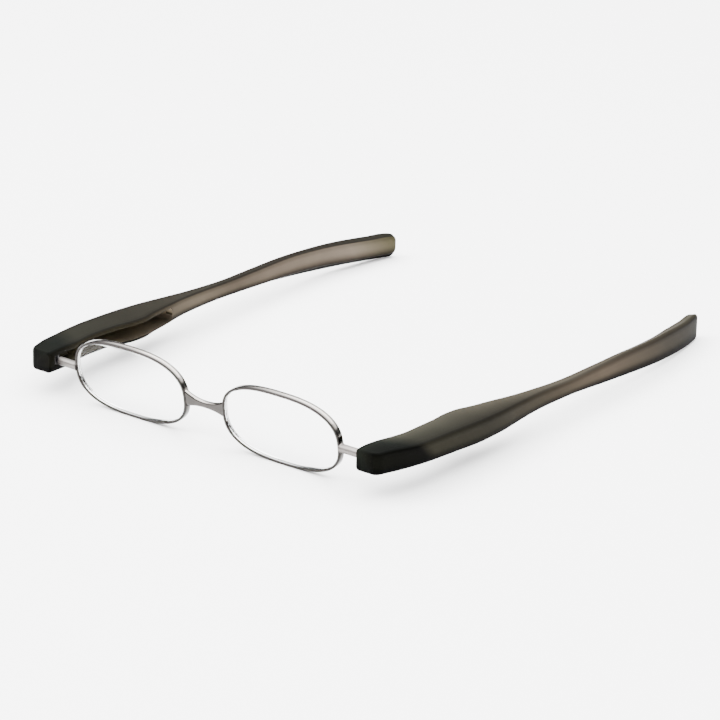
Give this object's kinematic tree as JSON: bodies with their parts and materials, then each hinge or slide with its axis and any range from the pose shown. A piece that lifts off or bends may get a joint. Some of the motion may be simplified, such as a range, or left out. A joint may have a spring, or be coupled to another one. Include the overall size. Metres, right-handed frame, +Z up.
{
  "type": "folding reading glasses",
  "caption": "Reading glasses with wire rims, clear lenses and smoky temples that twist and fold over the lenses.",
  "frame": {"origin": "on the surface the glasses rest on, under the middle of the overall box", "axes": "+X across to the wearer's side drawn on the right from the front, +Y back towards the temple tips, +Z up"},
  "size_m": [0.1318, 0.1512, 0.0209],
  "materials": {
    "nickel": "polished nickel plate",
    "steel": "bright steel",
    "smoke": "frosted translucent smoke grey",
    "nylon": "natural nylon",
    "clear": "clear polished lens"
  },
  "bodies": {
    "front": {"bridge": "nickel", "rim_left": "nickel", "rim_right": "nickel", "lens_left": "clear", "lens_right": "clear", "sleeve_left": "nickel", "sleeve_right": "nickel"},
    "spindle_body_left": {"spindle_left": "steel", "collar_left": "steel"},
    "pin_body_left": {"hinge_pin_left": "steel", "washer_top_left": "nylon", "washer_bottom_left": "nylon"},
    "temple_body_left": {"temple_left": "smoke", "plug_left": "smoke"},
    "spindle_body_right": {"spindle_right": "steel", "collar_right": "steel"},
    "pin_body_right": {"hinge_pin_right": "steel", "washer_top_right": "nylon", "washer_bottom_right": "nylon"},
    "temple_body_right": {"temple_right": "smoke", "plug_right": "smoke"}
  },
  "joints": [
    {"name": "twist_left", "type": "hinge", "parent": "front", "child": "spindle_body_left", "pos_m": [-0.0552, -0.07212, 0.01008], "axis": [1, 0, 0], "range_deg": [-80.8, 99.2]},
    {"name": "fold_first_left", "type": "hinge", "parent": "spindle_body_left", "child": "pin_body_left", "pos_m": [-0.0552, -0.07212, 0.01008], "axis": [0, -0.0366, -0.9993], "range_deg": [0, 43]},
    {"name": "fold_second_left", "type": "hinge", "parent": "pin_body_left", "child": "temple_body_left", "pos_m": [-0.0552, -0.07212, 0.01008], "axis": [0, -0.0366, -0.9993], "range_deg": [0, 42]},
    {"name": "twist_right", "type": "hinge", "parent": "front", "child": "spindle_body_right", "pos_m": [0.0552, -0.07212, 0.01008], "axis": [-1, 0, 0], "range_deg": [-99.2, 80.8]},
    {"name": "fold_first_right", "type": "hinge", "parent": "spindle_body_right", "child": "pin_body_right", "pos_m": [0.0552, -0.07212, 0.01008], "axis": [0, 0.0366, 0.9993], "range_deg": [0, 43]},
    {"name": "fold_second_right", "type": "hinge", "parent": "pin_body_right", "child": "temple_body_right", "pos_m": [0.0552, -0.07212, 0.01008], "axis": [0, 0.0366, 0.9993], "range_deg": [0, 42]}
  ]
}
